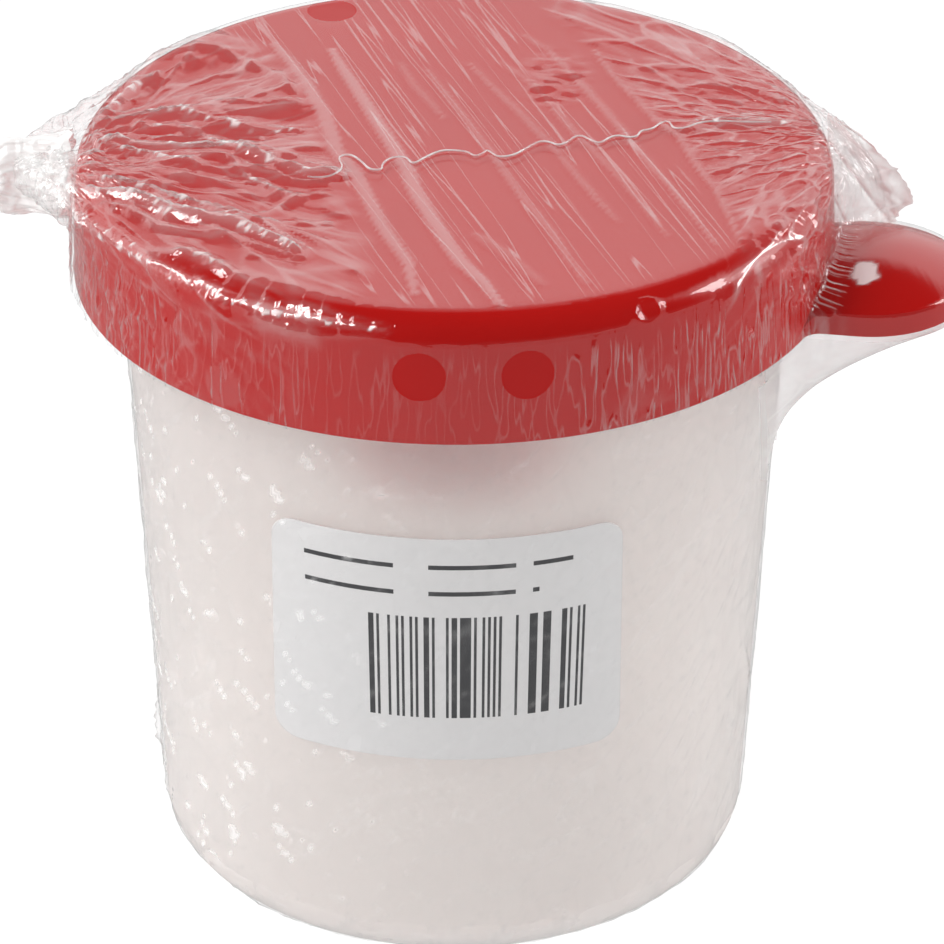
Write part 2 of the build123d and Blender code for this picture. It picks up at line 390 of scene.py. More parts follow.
def lid_film_finish():
    """Film with creases that fan out from both gathers, lines over the calm middle and skirt puckers."""
    material, tree, skin = blank("wrinkled lid film")
    place = own_space(tree)

    def fan(side, counts):
        """The crinkle of one gather's fan, and how much of it each point has."""
        ray = layer(tree, side + "_rays")["Vector"]
        scaled = vector_maths(tree, "MULTIPLY", {0: ray, 1: counts})
        return use_group(tree, CRINKLE, {"Vector": scaled, "Size": 1.0, "Wander": 0.7}), split(tree, ray)["Z"]

    left, left_share = fan("left", (9.0, 2.4, 0))
    right, right_share = fan("right", (9.0, 3.0, 0))

    # Lines drawn in the film's pull over the lid's middle
    pulled = put(tree, "ShaderNodeMapping", {
        "Vector": place, "Rotation": (0, 0, PULL_TURN), "Scale": (0.05, 0.0014, 0.05),
    }, vector_type="TEXTURE").outputs[0]
    streak = cloud(tree, pulled, 1.0, 1.0)["Fac"]
    off_line = maths(tree, "ABSOLUTE", maths(tree, "SUBTRACT", streak, 0.56))
    drawn = maths(tree, "MULTIPLY", ramp(tree, off_line, 0.0, 0.022, 1.3, 0.0), layer(tree, "calm")["Fac"])

    # Upright puckers round the skirt
    parts = split(tree, place)
    around = maths(tree, "MULTIPLY", maths(tree, "ARCTAN2", parts["Y"], parts["X"]), 34.0)
    upright = put(tree, "ShaderNodeCombineXYZ", {0: around, 1: maths(tree, "MULTIPLY", parts["Z"], 120.0)})
    pucker = cloud(tree, upright.outputs[0], 1.0, 1.0)["Fac"]
    off_pucker = maths(tree, "ABSOLUTE", maths(tree, "SUBTRACT", pucker, 0.5))
    comb = layer(tree, "comb")["Fac"]

    left_lines = maths(tree, "MULTIPLY", left["Line"], maths(tree, "MULTIPLY", left_share, 0.7))
    right_lines = maths(tree, "MULTIPLY", right["Line"], right_share)
    other_lines = maths(tree, "MULTIPLY_ADD", ramp(tree, off_pucker, 0.0, 0.035, 1.2, 0.0), comb, drawn)
    lines = maths(tree, "ADD", left_lines, maths(tree, "ADD", right_lines, other_lines))
    # Paleness of doubled film in creases, with painted glints and a painted highlight.
    crease_and_painted_highlight = layer(tree, "crease_and_painted_highlight")["Fac"]
    white = maths(tree, "MULTIPLY_ADD", crease_and_painted_highlight, 0.5, maths(tree, "MULTIPLY", lines, 0.15))

    left_rise = maths(tree, "MULTIPLY", left["Height"], maths(tree, "MULTIPLY", left_share, 0.45))
    right_rise = maths(tree, "MULTIPLY", right["Height"], maths(tree, "MULTIPLY", right_share, 0.85))
    small = maths(tree, "MULTIPLY", ramp(tree, off_pucker, 0.0, 0.12, 0.9, 0.0), comb)
    rise = maths(tree, "ADD", maths(tree, "ADD", left_rise, right_rise), small)
    rise = maths(tree, "ADD", rise, maths(tree, "MULTIPLY", streak, 0.10))
    clear_film(tree, skin, rise, 0.00045, white, 1.7)
    return material


def bunched_film(name):
    """Film gathered many layers deep: milky white, with clearer gaps and wet-looking glints."""
    material, tree, skin = blank(name)
    net = use_group(tree, CRINKLE, {"Vector": own_space(tree), "Size": 420.0, "Wander": 0.002})
    layers = layer(tree, "crease_and_painted_highlight")["Fac"]
    feed(tree, skin, {
        "Alpha": maths(tree, "MULTIPLY_ADD", net["Height"], 0.25, layers, clamp=True),
        "Normal": bumped(tree, net["Height"], 1.0, 0.0002),
        "Base Color": BUNCHED_TONE,
        "Roughness": 0.2,
    })
    return material


def plain_film(name, size, squash, whiteness):
    """Film with an even crinkle, drawn out upwards, pale lines on its ridges, and the paleness and painted
    glints that its mesh carries.
    """
    material, tree, skin = blank(name)
    laid = put(tree, "ShaderNodeMapping", {"Vector": own_space(tree), "Scale": (1, 1, squash)}).outputs[0]
    net = use_group(tree, CRINKLE, {"Vector": laid, "Size": size, "Wander": 0.8 / size})
    white = maths(tree, "MULTIPLY_ADD", net["Line"], whiteness, layer(tree, "crease_and_painted_highlight")["Fac"])
    clear_film(tree, skin, net["Height"], 0.00012, white, 6.0)
    return material


def welded_film():
    """Film melted to a thin thread, beaded."""
    material, tree, skin = blank("welded film")
    beads = cloud(tree, own_space(tree), 500.0, 2.0)["Fac"]
    feed(tree, skin, {
        "Base Color": WELD_TONE,
        "Alpha": ramp(tree, beads, 0.3, 0.7, 0.25, 0.85),
        "Roughness": 0.15,
    })
    return material


# ---------------------------------------------------------------- mesh helpers

def wrapped_piece(name, form, body, finish, node):
    """Puts a finished bmesh in the scene as film that stands for a CAD node and rides on its body."""
    mesh = bpy.data.meshes.new(name)
    form.to_mesh(mesh)
    form.free()
    mesh.shade_smooth()
    mesh.materials.append(finish)
    piece = bpy.data.objects.new(name, mesh)
    bpy.context.collection.objects.link(piece)
    piece.visible_shadow = False
    piece.visible_diffuse = False
    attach(piece, body)
    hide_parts(node)


def settled_mesh(holder):
    """The plain mesh of an object that only served to make it."""
    bpy.context.collection.objects.link(holder)
    settled = holder.evaluated_get(bpy.context.evaluated_depsgraph_get())
    mesh = bpy.data.meshes.new_from_object(settled)
    bpy.data.objects.remove(holder)
    return mesh


def even_skin(form, cell):
    """One closed skin of even cells round everything in the form."""
    mesh = bpy.data.meshes.new("form")
    form.to_mesh(mesh)
    form.free()
    holder = bpy.data.objects.new("form", mesh)
    cells = holder.modifiers.new("even cells", "REMESH")
    cells.mode = "VOXEL"
    cells.voxel_size = cell * MM
    skinned = settled_mesh(holder)
    result = bmesh.new()
    result.from_mesh(skinned)
    bpy.data.meshes.remove(mesh)
    bpy.data.meshes.remove(skinned)
    return result


def verts_in(geometry):
    return [part for part in geometry if isinstance(part, bmesh.types.BMVert)]


def edges_in(geometry):
    return [part for part in geometry if isinstance(part, bmesh.types.BMEdge)]


def everything(form):
    return form.verts[:] + form.edges[:] + form.faces[:]


def cut_below(form, geometry, height):
    """Takes off what lies under a height and returns the edges of the cut."""
    cut = bmesh.ops.bisect_plane(form, geom=geometry, dist=1e-7, plane_co=(0, 0, height * MM),
                                 plane_no=UP, clear_inner=True)
    return edges_in(cut["geom_cut"])


def turned_body(form, profile, steps):
    """Spins a chain of (radius, height) points about the pot's axis."""
    chain = [form.verts.new((radius * MM, 0, height * MM)) for radius, height in profile]
    links = [form.edges.new(pair) for pair in zip(chain, chain[1:])]
    bmesh.ops.spin(form, geom=chain + links, cent=(0, 0, 0), axis=UP, angle=2 * math.pi, steps=steps,
                   use_merge=True)
    bmesh.ops.remove_doubles(form, verts=form.verts[:], dist=1e-7)


def face_outwards(form):
    bmesh.ops.recalc_face_normals(form, faces=form.faces[:])


def pot_point(radius, azimuth, height):
    """A point by radius, azimuth as the viewer sees it (-90 is towards the viewer) and height, in metres."""
    turn = math.radians(azimuth) + TAB_TURN
    return Vector((radius * math.cos(turn), radius * math.sin(turn), height)) * MM


def seen_point(u, v, height):
    """A point by its place to the right of the axis and beyond it, as the viewer sees them."""
    return pot_point(math.hypot(u, v), math.degrees(math.atan2(v, u)), height)


def smooth(value, low, high):
    share = np.clip((value - low) / (high - low), 0, 1)
    return share * share * (3 - 2 * share)


def bell(value, middle, reach, power=2):
    """1 at the middle, falling off to nothing past the reach. A higher power makes it squarer."""
    return np.exp(-((value - middle) / reach) ** power)


def waves(a, b, c):
    """Smooth noise of each point, about -1 to 1."""
    return np.array([noise.noise((x, y, c)) for x, y in zip(a.tolist(), b.tolist())])


def ridges(a, b, c, steep):
    """A net of sharp lines through each point's noise, 1 on a line."""
    return 1 - np.minimum(1, steep * np.abs(waves(a, b, c)))


def ridge(value, steep):
    return 1 - min(1, abs(value) * steep)


def ring_noise(angle, size, c):
    """Noise round a ring, without a seam."""
    return noise.noise((math.cos(angle) * size, math.sin(angle) * size, c))


# ---------------------------------------------------------------- film over the lid

def add_tab_form(form, back, low):
    """The tab's domed top with an upright wall, moved back towards the lid."""
    dome = TAB_DOME + FILM_LIFT
    half = TAB_HALF + FILM_LIFT
    dome_centre = TAB_TOP - TAB_DOME
    lip = dome_centre + math.sqrt(dome**2 - half**2)
    place = Matrix.Translation(Vector((TAB_CENTRE - back, 0, dome_centre)) * MM)
    ball = bmesh.ops.create_uvsphere(form, u_segments=128, v_segments=96, radius=dome * MM, matrix=place)
    ball = ball["verts"]
    edges = dict.fromkeys(e for v in ball for e in v.link_edges)
    faces = dict.fromkeys(f for v in ball for f in v.link_faces)
    ring = cut_below(form, ball + list(edges) + list(faces), lip)
    wall = bmesh.ops.extrude_edge_only(form, edges=ring)["geom"]
    bmesh.ops.translate(form, verts=verts_in(wall), vec=(0, 0, (low - lip) * MM))
    bmesh.ops.holes_fill(form, edges=[e for e in edges_in(wall) if e.is_boundary])


def film_webs():
    """Where the film spans from the lid's rim out to the gathered ends."""
    rim_low, rim_high, crown = 79.5, 80.9, 84.1
    left = [pot_point(FILM_ROOT, az, z) for az in range(140, 216, 5) for z in (rim_low, rim_high)]
    left += [pot_point(38.0, az, crown) for az in range(146, 212, 6)]
    left += [pot_point(47.0, az, z) for az, z in ((176, 82.6), (183, 82.8), (182, 79.2), (177, 79.2))]
    right = [pot_point(FILM_ROOT, az, z) for az in range(-6, 34, 5) for z in (71.0, rim_high)]
    right += [pot_point(38.0, az, crown) for az in range(-2, 32, 5)]
    ear = ((43.6, 7, 82.6), (46.5, 6, 78.0), (47.5, 5.5, 72.5), (44.0, 2, 76.0))
    right += [pot_point(*place) for place in ear]
    return left, right


def lid_film_form():
    """The outside of lid and tab grown to where the film lies, with the film's webs towards both gathers."""
    form = bmesh.new()
    low = SKIRT_LOW - 3
    crown = LID_TOP + FILM_LIFT
    turned_body(form, [
        (0, low), (LID_RADIUS + FILM_LIFT, low), (LID_TOP_RADIUS + FILM_LIFT, crown), (0, crown),
    ], 360)
    rim = [e for e in form.edges if all(
        abs(v.co.z - crown * MM) < 1e-6 and math.hypot(v.co.x, v.co.y) > 30 * MM for v in e.verts)]
    bmesh.ops.bevel(form, geom=rim, offset=(LID_EDGE + FILM_LIFT) * MM, segments=9, profile=0.5,
                    affect="EDGES", material=-1)
    for back in (0, 4, 8):
        add_tab_form(form, back, low)
    for web in film_webs():
        bmesh.ops.convex_hull(form, input=[form.verts.new(point) for point in web])
    face_outwards(form)
    skin = even_skin(form, FILM_CELL)
    cut_below(skin, everything(skin), SKIRT_LOW)
    for _ in range(3):
        inside = [v for v in skin.verts if not v.is_boundary]
        bmesh.ops.smooth_vert(skin, verts=inside, factor=0.5,
                              use_axis_x=True, use_axis_y=True, use_axis_z=True)
    return skin


# Folds of the film over the lid, as the viewer sees them from above: points in millimetres from the axis,
# then height, half width and paleness. Past the rim the skirt is laid out flat.
FOLDS = [
    ([(-40, 1), (-36, -1), (-32, -2), (-28, -2.2), (-23.5, -3), (-19.5, -6), (-15.5, -9), (-12.3, -8.5)],
     0.9, 0.9, 0.45),
    ([(-38, -1), (-33, -4), (-29, -6), (-27, -8)], 0.6, 0.5, 0.4),
    ([(-43, -9), (-38, -12), (-33, -14.5), (-29.5, -18), (-26, -19.5), (-22.5, -21), (-19, -24),
      (-16, -26.5)], 1.2, 1.1, 0.55),
    ([(-42, -7), (-36, -10.5), (-31, -12.5), (-27, -17), (-22, -19.5)], 0.7, 0.5, 0.4),
    ([(-43, -13), (-37, -21), (-33, -26), (-29.5, -28.7), (-27.8, -31.5)], 0.9, 0.6, 0.35),
    ([(-44, -11), (-39, -17), (-34, -23), (-31, -28), (-30, -31)], 0.6, 0.4, 0.3),
    ([(-40, 1), (-38.3, 3.5), (-36.5, 9), (-34, 13), (-32.5, 15)], 0.7, 0.5, 0.4),
    ([(-38, 3), (-34, 4.3), (-29.6, 5.8), (-26, 3.5), (-21.5, 2), (-17, 2)], 0.6, 0.5, 0.3),
    ([(-37, 2), (-30, 2.4), (-25, -0.5), (-20.5, -5), (-17, -5)], 0.5, 0.4, 0.3),
    ([(-26, 7.5), (-21, 7.5), (-16, 9)], 0.4, 0.4, 0.3),
    ([(-32, 19.5), (-26, 22), (-20, 16), (-17, 10)], 0.4, 0.7, 0.25),
    ([(-23.7, -6), (-21.8, -9), (-19.7, -11), (-17, -13.5), (-14.7, -13)], 0.6, 0.35, 0.5),
    ([(-20.3, -18), (-17.8, -15), (-15.8, -13.8)], 0.4, 0.5, 0.3),
    ([(-22.7, -20), (-17.5, -19.5), (-12.2, -19)], 0.35, 0.4, 0.3),
    ([(-28.4, -26.2), (-26.2, -27.5), (-24, -29.3), (-23.4, -31)], 0.6, 0.4, 0.6),
    ([(-26.8, -31), (-25, -33), (-24, -35)], 0.5, 0.4, 0.5),
    ([(-23.5, -34.8), (-18.4, -37.7), (-13, -39.9), (-7.3, -41.4)], 0.5, 0.7, 0.35),
    ([(-20, 23.5), (-18, 19), (-16, 13), (-14, 6), (-12.5, -3), (-10.6, -7.5), (-7.5, -20), (-4.8, -28),
      (-4, -35)], 0.22, 0.8, 0.30),
    ([(-13.5, 22), (-11.8, 16), (-10, 10), (-7, 0), (-5.3, -6), (-4, -12.5), (-1.6, -21), (0.6, -28),
      (3, -32.5), (4.8, -38)], 0.25, 0.8, 0.34),
    ([(-6, 18.7), (-4.3, 13), (-1, 5)], 0.12, 0.4, 0.12),
    ([(-3, 17), (0, 8.5), (2.8, 0), (3.8, -2.5), (4.8, -6), (7.3, -14), (10, -21), (12, -28), (13.8, -33)],
     0.18, 0.4, 0.18),
    ([(1.7, 18.5), (4, 13), (6.8, 7), (9.3, 1), (10.8, -2.5), (12.8, -8), (15, -14), (17, -19)],
     0.18, 0.4, 0.16),
    ([(5.2, 18.7), (8.2, 14.3), (10.3, 9), (12.8, 2), (14.3, -1.5), (16.7, -7), (19, -13), (22, -22)],
     0.18, 0.4, 0.16),
    ([(7.4, 26), (10.2, 22.3), (12.3, 17.4), (14.2, 12.6), (17, 5), (19, -1), (23, -12), (27, -24)],
     0.2, 0.4, 0.2),
    ([(15.5, 22), (17.2, 16), (19.7, 10), (22, 4), (24, 0.8), (26, -7), (27.5, -11.5), (30, -25)],
     0.25, 0.4, 0.22),
    ([(24.7, 2.6), (26.3, 4), (28.4, 4.4), (30.6, 4.1), (34, 4.1), (37, 4.1), (39.4, 3.4)], 0.5, 0.4, 0.35),
    ([(2.2, -22), (5, -26), (9, -33)], 0.25, 0.6, 0.1),
]
DRAWN_LINE = 0.3  # a fold lower than this is only a line drawn in tight film
TALL_FOLD = 0.5  # a fold from this height on has a second crest beside it, and painted glints

# In the same flat view: bubbles with their sizes, the gathers, and how far u goes at each v in the zones
# of creases left and right
BUBBLES = [(45.3, -17.7, 1.7), (42.3, -22.8, 1.5), (40.2, -24.8, 1.1), (20.3, -36.9, 1.5)]
POLES = {"left": (-45.5, -3.5), "right": (46.0, 2.5)}
LEFT_ZONE = (
    [-60, -45, -35, -28, -20, -7.5, -3, 6, 13, 19, 24, 32],
    [-26, -16, -9, -8, -9, -12, -13, -14, -16, -18, -22, -32],
)
RIGHT_ZONE = (
    [-60, -45, -35, -25, -11, -7, 1, 4, 10, 16, 22, 32],
    [12, 20, 29, 30, 27.5, 26, 24, 22, 19.7, 17.2, 15, 10],
)
# Creases that fan out from each gather: how many round it and out from it, height, and two noise seeds
FANS = {"left": (5.5, 1.5, 1.15, 1.0, 3.0), "right": (7.0, 2.4, 0.5, 2.0, 4.0)}


def near_line(u, v, line):
    """Distance of each point from a chain of points, and how far along the chain the nearest spot is."""
    best = np.full(len(u), 1e3)
    share = np.zeros(len(u))
    for i, ((ax, ay), (bx, by)) in enumerate(zip(line, line[1:])):
        dx, dy = bx - ax, by - ay
        along = np.clip(((u - ax) * dx + (v - ay) * dy) / (dx * dx + dy * dy), 0, 1)
        away = np.hypot(u - ax - along * dx, v - ay - along * dy)
        share = np.where(away < best, (i + along) / (len(line) - 1), share)
        best = np.minimum(best, away)
    return best, share


class LidFilm:
    """How the film lies over the lid, point by point: its zones, its lift off the lid and its paleness."""

    def __init__(self, points):
        """u and v are as the viewer sees them from above, with the skirt rolled out round the lid's top."""
        self.points = points
        turn = np.arctan2(points[:, 1], points[:, 0]) - TAB_TURN
        self.out = np.hypot(points[:, 0], points[:, 1]) + np.maximum(0, LID_TOP + FILM_LIFT - points[:, 2])
        self.u, self.v = self.out * np.cos(turn), self.out * np.sin(turn)
        self.azimuth = np.degrees(turn)
        left_edge, right_edge = np.interp(self.v, *LEFT_ZONE), np.interp(self.v, *RIGHT_ZONE)
        self.left = 1 - smooth(self.u, left_edge - 3, left_edge + 1)
        self.right = smooth(self.u, right_edge - 1, right_edge + 2)
        self.patch = np.exp(-(((self.u - 11) / 3.5) ** 2 + ((self.v - 15) / 6.5) ** 2) ** 2)
        self.skirt = smooth(self.out, 43.5, 46.5)
        self.tab = smooth(points[:, 0], 41.5, 44) * (1 - smooth(np.abs(points[:, 1]), 11.6, 13.5)) * (
            1 - smooth(points[:, 2], 76.5, 78))
        self.loose = (1 - 0.75 * self.skirt) * (1 - self.tab)
        self.rays = {"left": self.rays_from("left", 1), "right": self.rays_from("right", -1)}
        self.lift = np.zeros(len(points))
        self.pale = np.zeros(len(points))

    def rays_from(self, side, facing):
        """Direction of each point as seen from a gather, and how far out it is."""
        du, dv = facing * (self.u - POLES[side][0]), self.v - POLES[side][1]
        return np.arctan2(dv, du), np.log(np.maximum(np.hypot(du, dv), 2))

    def whiten(self, share):
        self.pale = np.maximum(self.pale, share)

    def fan_out(self):
        """Creases that fan out from both gathers."""
        for side, zone in (("left", self.left), ("right", self.right)):
            angle, reach = self.rays[side]
            turns, steps, tall, broad_seed, sharp_seed = FANS[side]
            weight = self.loose * zone
            drift = waves(angle * 2, reach * 2, 5.0) * 0.5
            broad = waves(angle * turns * 0.6 + drift, reach * steps * 0.9, broad_seed)
            sharp = ridges(angle * turns + drift, reach * steps, sharp_seed, 4.0)
            web = ridges(angle * turns * 1.9 - drift, reach * steps * 2.6, 12.0, 6.0)
            self.lift += weight * tall * (0.8 * broad + 0.4 * sharp**1.5 + 0.14 * web)
            self.pale += weight * (0.22 * sharp**4 + 0.16 * web**2)

    def crumple_skirt(self):
        """Small ribs over the rim's front, soft waves down the skirt, crumples at its left, and the patch."""
        out, azimuth = self.out, self.azimuth
        rim = smooth(out, 36.5, 39.5) * (1 - smooth(out, 43, 48))
        front = bell(azimuth, -112, 15, 4) + bell(azimuth, -28, 9, 4)
        self.lift += (1 - self.tab) * rim * front * 0.4 * ridges(azimuth * 0.62, out * 0.05, 7.0, 3.0)
        self.lift += self.skirt * (1 - self.tab) * 0.16 * waves(azimuth * 0.30, out * 0.10, 8.0)
        crumpled = self.skirt * bell(azimuth, -152, 30, 4) * 0.35
        crumple = ridges(azimuth * 0.26 + out * 0.1, out * 0.22 - azimuth * 0.1, 14.0, 5.0)
        self.lift += crumpled * crumple
        self.whiten(crumpled * crumple**3)
        self.lift += self.patch * 0.55 * waves(self.u * 0.5, self.v * 0.9, 10.0)

    def lay_folds(self):
        u, v = self.u, self.v
        wander = waves(u * 0.35, v * 0.35, 11.0)
        # Painted glints: white flecks along the crests of tall folds.
        painted_glint = smooth(waves(u * 0.8 + v * 0.5, v * 1.6 - u * 0.6, 16.0), 0.18, 0.34)
        settled = self.loose * (1 - 0.5 * smooth(self.out, 38, 41))
        for line, height, half, paleness in FOLDS:
            drawn = height < DRAWN_LINE
            bend, share = near_line(u + wander * (0.12 if drawn else 0.5), v, line)
            wide = half * (0.3 + 0.7 * np.sin(np.pi * np.clip(share, 0.02, 0.98)) ** 0.5)
            crest = bell(bend, 0, wide)
            if height >= TALL_FOLD:
                crest += 0.5 * bell(bend / wide, 2.3, 0.6)
                # Whitens the crest where the painted glints fall.
                self.whiten(self.loose * 1.3 * painted_glint * smooth(crest, 0.45, 0.7))
            strip = 1 - smooth(bend, wide * 0.75, wide * 1.25)
            self.lift += settled * height * crest
            self.whiten(self.loose * paleness * (strip if drawn else crest))
        for bubble_u, bubble_v, size in BUBBLES:
            self.lift += 0.45 * bell(np.hypot(u - bubble_u, v - bubble_v), size, 0.45)

    def add_pale_spots(self):
        """Webs near the gathers, a pale disc on the skirt's left, and a painted highlight on the tab where
        the lamp shines.
        """
        u, v, points = self.u, self.v, self.points
        near_left = bell(np.hypot(u - POLES["left"][0], v - POLES["left"][1]), 0, 9)
        near_right = bell(np.hypot(u - POLES["right"][0], v - POLES["right"][1]), 0, 6)
        angle, reach = self.rays["left"]
        fine = ridges(angle * 14, reach * 2.5, 13.0, 3.0)
        self.whiten((near_left * (0.28 + 0.7 * fine**2) + 0.3 * near_right) * (1 - self.tab))
        disc = np.hypot((self.azimuth + 125) * 0.72, points[:, 2] - 72.8)
        self.whiten(0.14 * (1 - smooth(disc, 2.2, 2.6)))
        # Painted highlight: the film over the tab is whitened in a patch where the lamp's shine sits.
        tab_painted_highlight = seen_point(43.5, -12.5, 0) / MM
        glow = np.hypot((points[:, 0] - tab_painted_highlight.x) / 1.8, (points[:, 1] - tab_painted_highlight.y) / 2.4)
        glow = glow + 0.35 * waves(u * 0.7, v * 0.7, 3.0)
        self.whiten(self.tab * 1.2 * (1 - smooth(glow, 0.7, 0.95)))

    def comb(self):
        """How much each point takes part in the skirt's upright puckers."""
        front = bell(self.azimuth, -42, 38, 4)
        left = bell(self.azimuth, -150, 38, 4)
        uneven = 0.8 + 0.8 * waves(self.azimuth * 0.11, self.out * 0.13, 15.0)
        return np.maximum(self.skirt * (1 - self.tab) * uneven * (0.4 + 0.6 * front + 0.3 * left), 0)

    def calm(self):
        """How much each point lies in the tight film over the lid's middle."""
        return np.clip(1 - self.left - self.right - self.patch, 0, 1) * (1 - smooth(self.out, 36, 38.5))


def beside(spot, centre, axis):
    """How far a spot lies to the side of an axis, as a vector, and how far along it."""
    away = spot - centre
    along = away.dot(axis)
    return away - axis * along, along


def punch_vents(form):
    """Round vent holes with clean edges: two on the skirt and one on the top."""
    vents = [
        (pot_point(0, 0, 77.8), pot_point(1, -95, 0).normalized()),
        (pot_point(0, 0, 77.8), pot_point(1, -79.5, 0).normalized()),
        (pot_point(LID_RADIUS - 6, 113, 0), UP),
    ]
    radius = VENT_RADIUS * MM
    far_side = 20 * MM
    for centre, axis in vents:
        close = []
        for face in form.faces:
            side, along = beside(face.calc_center_median(), centre, axis)
            if along > far_side and side.length < 1.6 * radius:
                close.append(face)
        bmesh.ops.triangulate(form, faces=close)
        near = {}
        for vert in form.verts:
            side, along = beside(vert.co, centre, axis)
            if along > far_side and side.length < 2 * radius:
                near[vert] = side
        for edge in dict.fromkeys(e for v in near for e in v.link_edges):
            ends = [near.get(v) for v in edge.verts]
            if None in ends:
                continue
            lengths = [end.length for end in ends]
            if min(lengths) < radius < max(lengths):
                pick = 0 if abs(lengths[0] - radius) < abs(lengths[1] - radius) else 1
                vert, side = edge.verts[pick], ends[pick]
                vert.co += side.normalized() * (radius - side.length)
                near[vert] = side.normalized() * radius
        doomed = [f for f in dict.fromkeys(f for v in near for f in v.link_faces)
                  if all(v in near and near[v].length < radius * 1.0001 for v in f.verts)]
        bmesh.ops.delete(form, geom=doomed, context="FACES")


def wrap_over_lid():
    form = lid_film_form()
    punch_vents(form)
    form.normal_update()
    film = LidFilm(np.array([v.co for v in form.verts]) / MM)
    film.fan_out()
    film.crumple_skirt()
    film.lay_folds()
    film.add_pale_spots()
    lift = np.maximum(film.lift, -0.3 + 0.05 * film.lift)
    # The pale layer holds the creases' paleness and also the painted glints and the tab's painted highlight.
    shares = {"crease_and_painted_highlight": film.pale, "comb": film.comb(), "calm": film.calm()}
    weights = {"left": film.left * film.loose, "right": np.maximum(film.right * film.loose, film.patch * 0.6)}
    share_layers = [(form.verts.layers.float.new(name), values) for name, values in shares.items()]
    ray_layers = [(form.verts.layers.float_vector.new(side + "_rays"), *film.rays[side], weight)
                  for side, weight in weights.items()]
    for i, vert in enumerate(form.verts):
        for share_layer, values in share_layers:
            vert[share_layer] = values[i]
        for ray_layer, angle, reach, weight in ray_layers:
            vert[ray_layer] = (angle[i], reach[i], weight[i])
        vert.co += vert.normal * float(lift[i]) * MM
    wrapped_piece("lid_film", form, "lid", lid_film_finish(), "wrap_lid")


# ---------------------------------------------------------------- film round the cup

def cup_radius(height):
    return CUP_FOOT_RADIUS + CUP_TAPER * height / SKIRT_LOW


def wrap_round_cup():
    """Film round the cup's wall and over its foot: tight, with creases, painted glints and two folded points.
    """
    form = bmesh.new()
    foot = CUP_FOOT_ROUND + CUP_FILM_LIFT
    profile = []
    for step in range(7):
        swing = math.radians(90 * step / 6)
        profile.append((
            CUP_FOOT_RADIUS + CUP_FILM_LIFT - foot + foot * math.sin(swing),
            foot - CUP_FILM_LIFT - foot * math.cos(swing),
        ))
    profile[0] = (profile[0][0], 0.1)
    profile += [(cup_radius(z) + CUP_FILM_LIFT, z) for z in np.linspace(5.5, CUP_FILM_TOP, 100)]
    turned_body(form, profile, 400)
    cut_below(form, everything(form), 0.5)
    face_outwards(form)
    form.normal_update()
    points = np.array([v.co for v in form.verts]) / MM
    turn = np.degrees(np.arctan2(points[:, 1], points[:, 0]) - TAB_TURN)
    turn = np.where(turn < -180, turn + 360, turn)
    z = points[:, 2]
    around = np.radians(turn) * 35
    slanted = around * 0.8 + z * 0.6
    across = z * 0.8 - around * 0.6
    label_zone = np.exp(-((turn + 91.4) / 33) ** 6 - ((z - LABEL_MIDDLE) / 15) ** 6)
    left_side = bell(turn, -150, 40, 4)
    rise = 0.16 * waves(slanted * 0.10, across * 0.22, 1.0) + 0.08 * waves(slanted * 0.3, across * 0.6, 2.0)
    sharp = ridges(slanted * 0.10, across * 0.3, 3.0, 5)
    rise += 0.15 * sharp**2 * (0.35 + 0.65 * left_side)
    rise *= 1 - 0.85 * label_zone
    for at, height, size in ((-19, 25, 3.5), (178, 10, 4.0)):
        away = np.radians(turn - at) * 33
        rise += 1.1 * np.exp(-np.abs(away + (z - height) * 0.5) / 0.7) * bell(z, height, size)
    down, over = around * 0.8 - z * 0.6, around * 0.6 + z * 0.8
    # Painted glints: white flecks, most of them on the cup's left side.
    painted_white_fleck = smooth(waves(down * 0.28, over * 0.95, 9.0), 0.41, 0.55) * (0.1 + 0.9 * left_side)
    crease_and_painted_highlight = form.verts.layers.float.new("crease_and_painted_highlight")
    for i, vert in enumerate(form.verts):
        vert[crease_and_painted_highlight] = float(0.1 * sharp[i] ** 6 + 0.55 * painted_white_fleck[i])
        vert.co += vert.normal * max(-CUP_FILM_LIFT, float(rise[i])) * MM
    wrapped_piece("cup_film", form, "cup", plain_film("cup film", 240.0, 0.6, 0.02), "wrap_cup")


def tent_under_tab():
    """Film that spans from under the tab down to the cup's wall, round at its nose, straight at its sides."""
    form = bmesh.new()
    crease_and_painted_highlight = form.verts.layers.float.new("crease_and_painted_highlight")
    grid = bmesh.ops.create_grid(form, x_segments=72, y_segments=44, size=0.5)["verts"]
    reach = LID_RADIUS + 14.4 - cup_radius(TENT_TOP)
    nose_share = 0.62
    for vert in grid:
        share = vert.co.y + 0.5
        sweep = vert.co.x * 2
        height = TENT_FOOT + (TENT_TOP - TENT_FOOT) * share
        wall = cup_radius(height)
        half = (TAB_HALF + 0.4) * (0.4 + 0.6 * share)
        nose = wall + reach * share**2.2 + 0.3 - half
        if abs(sweep) < nose_share:
            turn = sweep / nose_share * math.pi / 2
            x, y = nose + half * math.cos(turn), half * math.sin(turn)
        else:
            run = (abs(sweep) - nose_share) / (1 - nose_share)
            end = math.sqrt(max(0, (wall + 0.7) ** 2 - half**2))
            x, y = nose + (end - nose) * run, math.copysign(1, sweep) * half
        ripple = 0.15 * noise.noise((y * 0.25, height * 0.1, 0.3))
        ripple += 0.1 * noise.noise((y * 0.7, height * 0.2, 4.3))
        vert.co = Vector((x, y, height)) * MM
        vert.co.x += ripple * MM * share
        vert[crease_and_painted_highlight] = 0.24 + 0.12 * max(0, noise.noise((sweep * 7, height * 0.12, 1.2)))
    face_outwards(form)
    wrapped_piece("tab_tent_film", form, "cup", plain_film("tent film", 160.0, 0.4, 0.05), "wrap_tent")


# ---------------------------------------------------------------- gathered ends and seam

